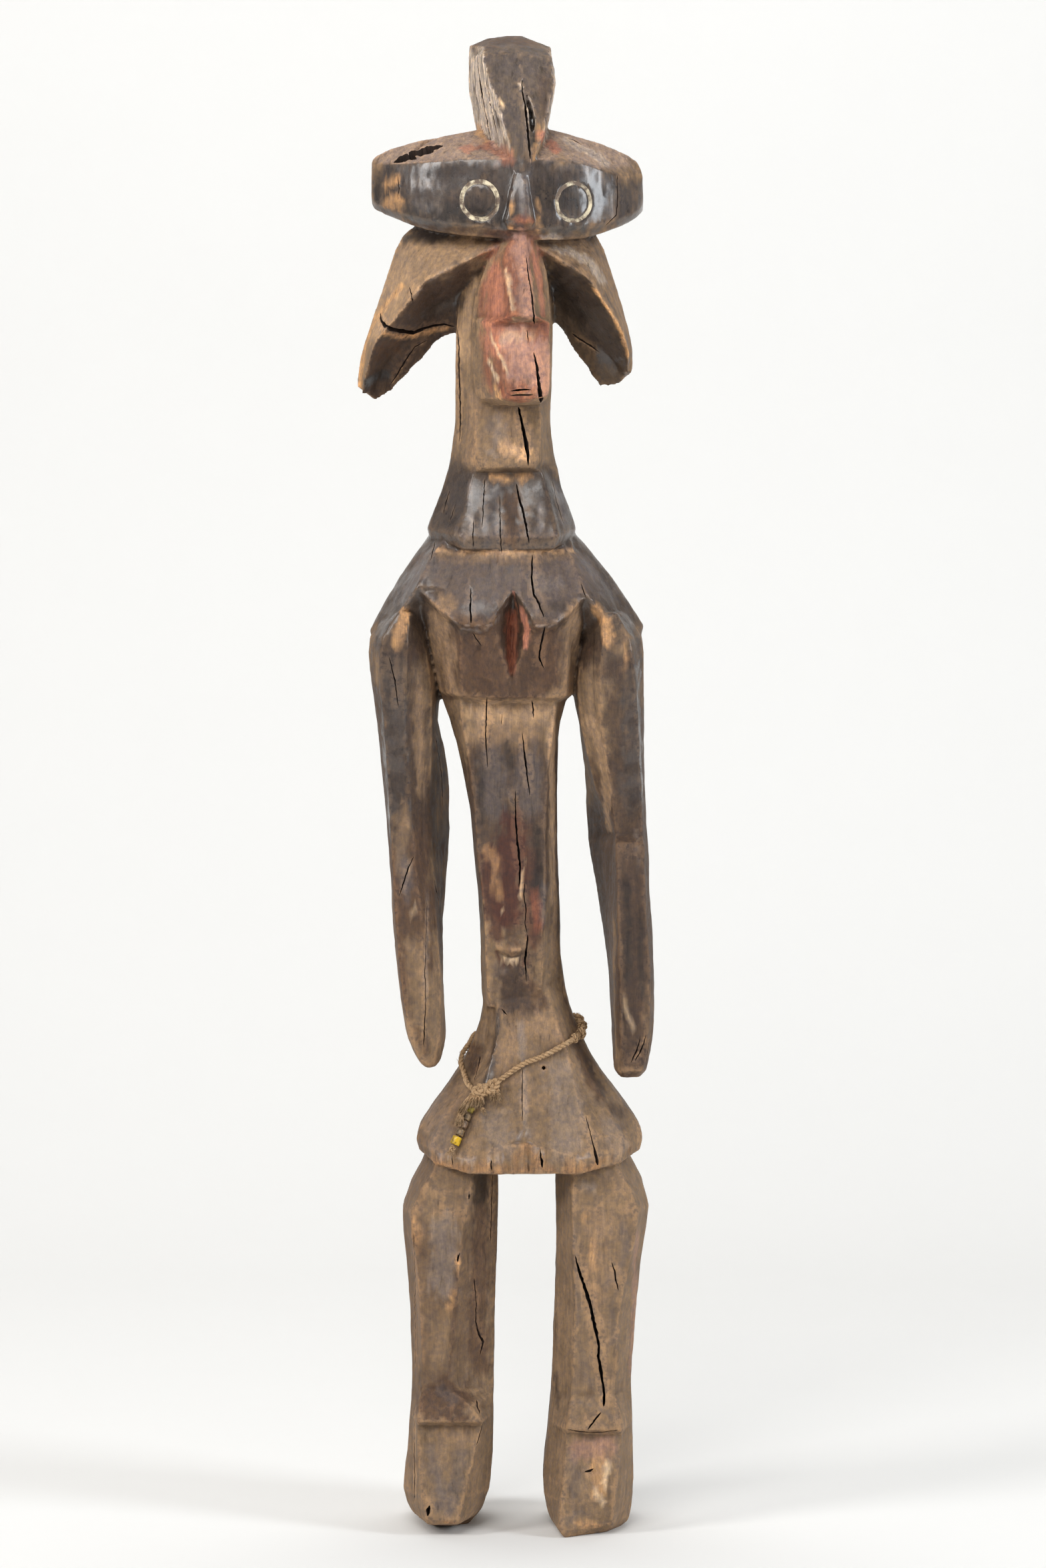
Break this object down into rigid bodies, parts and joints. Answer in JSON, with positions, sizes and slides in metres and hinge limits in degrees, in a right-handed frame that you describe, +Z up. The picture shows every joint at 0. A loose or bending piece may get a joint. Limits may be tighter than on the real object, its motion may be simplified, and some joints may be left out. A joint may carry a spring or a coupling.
{
  "type": "standing ancestor statue",
  "caption": "Slender standing wooden ancestor figure with a crest, ring eyes, drooping ear flaps, free arms, flared hips and a hip cord with beads.",
  "frame": {"origin": "on the ground under the middle of the figure's own bounding box", "axes": "+Z up along the figure, -Y the way the figure looks, +X towards the viewer's right, which is the figure's left"},
  "size_m": [0.199, 0.1226, 1],
  "materials": {
    "carved_wood": "aged, darkened and worn, oily sheen on the raised parts",
    "plant_fibre": "twisted dry plant fibre, matt",
    "yellow_bead": "old yellow trade bead, worn and slightly glossy"
  },
  "bodies": {
    "root": {"figure": "carved_wood", "waist_cord": "plant_fibre", "cord_knot": "plant_fibre", "bead_string": "plant_fibre", "bead_1": "yellow_bead", "bead_2": "yellow_bead", "bead_3": "yellow_bead", "bead_4": "yellow_bead", "bead_5": "yellow_bead"}
  },
  "joints": []
}
